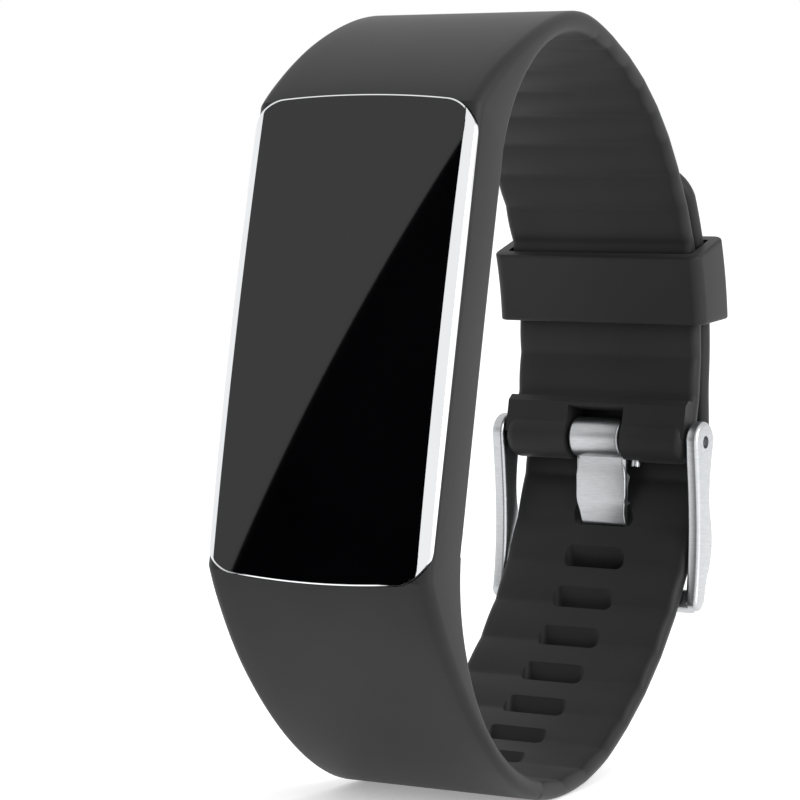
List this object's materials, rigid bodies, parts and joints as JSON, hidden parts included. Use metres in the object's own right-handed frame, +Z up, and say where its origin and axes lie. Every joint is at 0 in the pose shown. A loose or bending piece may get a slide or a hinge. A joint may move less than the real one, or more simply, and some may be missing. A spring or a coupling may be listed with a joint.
{
  "type": "fitness tracker band",
  "caption": "Fitness tracker with a slim lens capsule in a silicone wrist band, closed by a tang buckle with a sliding keeper loop.",
  "frame": {"origin": "centre of the wrist opening, midway across the band", "axes": "+Z up, -Y towards the lens side, +X across the band; the lens leans back 12 degrees from the vertical"},
  "size_m": [0.0216, 0.0561, 0.0676],
  "materials": {
    "silicone": "soft-touch matt moulded silicone",
    "bezel_metal": "polished",
    "lens_glass": "gloss black printed glass",
    "window": "clear tinted",
    "shell_plastic": "fine spark-eroded texture",
    "frame_plastic": "moulded",
    "seal": "matt",
    "panel": "gloss",
    "flex": "polyimide film",
    "board": "solder mask",
    "sensor": "clear moulded",
    "cell": "laminate pouch",
    "gold": "gold plated",
    "buckle_steel": "fine brushed",
    "small_steel": "turned",
    "weight_metal": "sintered tungsten alloy"
  },
  "bodies": {
    "root": {"band": "silicone", "band_tail": "silicone", "bezel": "bezel_metal", "lens": "lens_glass", "lens_gasket": "seal", "display_panel": "panel", "display_flex": "flex", "mid_frame": "frame_plastic", "capsule_shell": "shell_plastic", "back_cover": "shell_plastic", "cover_seal": "seal", "cover_screws": "small_steel", "sensor_window": "window", "optical_sensor": "sensor", "charge_contacts": "gold", "main_board": "board", "battery": "cell", "motor_can": "small_steel", "spring_bar_tube": "small_steel", "plunger_spring": "small_steel"},
    "keeper": {"keeper": "silicone"},
    "buckle_frame": {"buckle_frame": "buckle_steel"},
    "tongue": {"tongue": "buckle_steel"},
    "release_plunger": {"release_plunger": "small_steel"},
    "motor_weight": {"motor_weight": "weight_metal"}
  },
  "joints": [
    {"name": "keeper_slide", "type": "hinge", "parent": "root", "child": "keeper", "pos_m": [0, -0.00651, 0.00496], "axis": [1, 0, 0], "range_deg": [-9, 9]},
    {"name": "buckle_hinge", "type": "hinge", "parent": "root", "child": "buckle_frame", "pos_m": [0, 0.02132, -0.00361], "axis": [1, 0, 0], "range_deg": [0, 15], "deforming": ["band_tail"]},
    {"name": "tongue_hinge", "type": "hinge", "parent": "buckle_frame", "child": "tongue", "pos_m": [0, 0.02132, -0.00361], "axis": [1, 0, 0], "range_deg": [0, 12], "deforming": ["band_tail"]},
    {"name": "release_slide", "type": "slide", "parent": "root", "child": "release_plunger", "axis": [-1, 0, 0], "range_m": [0, 0.0008], "stiffness_N_per_m": 400, "springref_m": -0.001, "deforming": ["plunger_spring"]},
    {"name": "motor_spin", "type": "hinge", "parent": "root", "child": "motor_weight", "pos_m": [0.0034, -0.01882, 0.01811], "axis": [0, 0.9781, -0.2079], "continuous": true}
  ]
}
